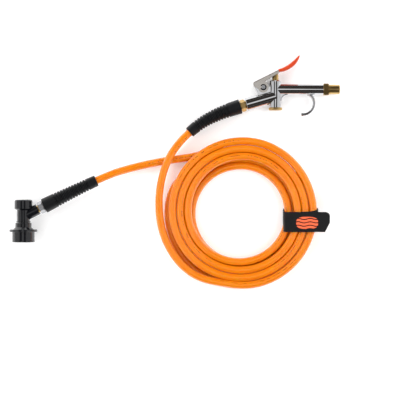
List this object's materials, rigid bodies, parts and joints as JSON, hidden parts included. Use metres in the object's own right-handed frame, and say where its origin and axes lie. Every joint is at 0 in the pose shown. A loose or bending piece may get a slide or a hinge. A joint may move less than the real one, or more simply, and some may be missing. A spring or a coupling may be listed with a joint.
{
  "type": "air blow gun hose assembly",
  "caption": "Lever-operated blow gun on a strapped coil of clear orange hose, with ribbed bend restrictors and a push-on quick coupler at the far end.",
  "frame": {"origin": "under the middle of the gun with its fitting and bend restrictor, on the surface it lies on", "axes": "+X along the barrel towards the nozzle, +Y up the valve towards the lever, +Z away from the surface the object lies on"},
  "size_m": [0.4124, 0.2943, 0.0347],
  "materials": {
    "chrome_plate": "polished chrome plate on a zinc casting",
    "nickel_plate": "bright nickel plate on pressed steel",
    "vinyl": "dipped vinyl, satin",
    "steel": "bright steel",
    "black_spring_steel": "black oxide",
    "brass": "machined brass, polished",
    "rubber": "nitrile rubber",
    "moulded_rubber": "moulded rubber, satin",
    "hose_polyurethane": "clear orange polyurethane over a braid",
    "strap_nylon": "woven nylon hook-and-loop tape",
    "white_nylon": "nylon",
    "black_plastic": "moulded acetal, semi-gloss"
  },
  "bodies": {
    "gun": {"gun_body": "chrome_plate", "lever_pin": "steel", "lever_clip": "black_spring_steel", "valve_spring": "steel", "bottom_plug": "brass", "plug_seal": "rubber", "nozzle": "brass", "inlet_fitting": "brass", "gun_ferrule": "brass", "gun_bend_restrictor": "moulded_rubber", "hose_gun_end": "hose_polyurethane", "hose_coil": "hose_polyurethane", "hose_coupler_end": "hose_polyurethane", "coil_strap": "strap_nylon", "coupler_bend_restrictor": "moulded_rubber", "coupler_ferrule": "brass", "coupler_tail": "steel", "swivel_nut": "steel", "flare_washer": "white_nylon", "flare_stem": "brass", "coupler_body": "black_plastic", "coupler_cap": "black_plastic", "cap_seal": "rubber", "plunger_spring": "steel", "collar_spring": "steel"},
    "lever": {"lever": "nickel_plate", "lever_grip": "vinyl"},
    "valve": {"valve_stem": "brass", "stem_seal": "rubber", "valve_seal": "rubber", "valve_poppet": "brass"},
    "collar": {"lock_collar": "black_plastic"},
    "plunger": {"plunger": "black_plastic", "plunger_seal": "rubber"},
    "ball_1": {"lock_ball_1": "steel"},
    "ball_2": {"lock_ball_2": "steel"},
    "ball_3": {"lock_ball_3": "steel"},
    "ball_4": {"lock_ball_4": "steel"}
  },
  "joints": [
    {"name": "lever_press", "type": "hinge", "parent": "gun", "child": "lever", "pos_m": [0.00057, 0.00977, 0.0093], "axis": [0, 0, -1], "range_deg": [0, 8], "stiffness_Nm_per_rad": 1.32, "springref_deg": -8.59},
    {"name": "valve_travel", "type": "slide", "parent": "gun", "child": "valve", "axis": [0, -1, 0], "range_m": [0, 0.0029], "deforming": ["valve_spring"]},
    {"name": "collar_lift", "type": "slide", "parent": "gun", "child": "collar", "axis": [0, 1, 0], "range_m": [0, 0.0035], "stiffness_N_per_m": 1500, "springref_m": -0.003, "deforming": ["collar_spring"]},
    {"name": "plunger_lift", "type": "slide", "parent": "gun", "child": "plunger", "axis": [0, 1, 0], "range_m": [0, 0.003], "stiffness_N_per_m": 1000, "springref_m": -0.003, "deforming": ["plunger_spring"]},
    {"name": "ball_1_out", "type": "slide", "parent": "gun", "child": "ball_1", "axis": [0.7071, 0, 0.7071], "range_m": [0, 0.00098]},
    {"name": "ball_2_out", "type": "slide", "parent": "gun", "child": "ball_2", "axis": [-0.7071, 0, 0.7071], "range_m": [0, 0.00098]},
    {"name": "ball_3_out", "type": "slide", "parent": "gun", "child": "ball_3", "axis": [-0.7071, 0, -0.7071], "range_m": [0, 0.00098]},
    {"name": "ball_4_out", "type": "slide", "parent": "gun", "child": "ball_4", "axis": [0.7071, 0, -0.7071], "range_m": [0, 0.00098]}
  ],
  "couplings": [
    {"joint": "valve_travel", "follows": "lever_press", "m_per_rad": 0.0205},
    {"joint": "ball_1_out", "follows": "collar_lift", "ratio": 0.27143},
    {"joint": "ball_2_out", "follows": "collar_lift", "ratio": 0.27143},
    {"joint": "ball_3_out", "follows": "collar_lift", "ratio": 0.27143},
    {"joint": "ball_4_out", "follows": "collar_lift", "ratio": 0.27143}
  ]
}
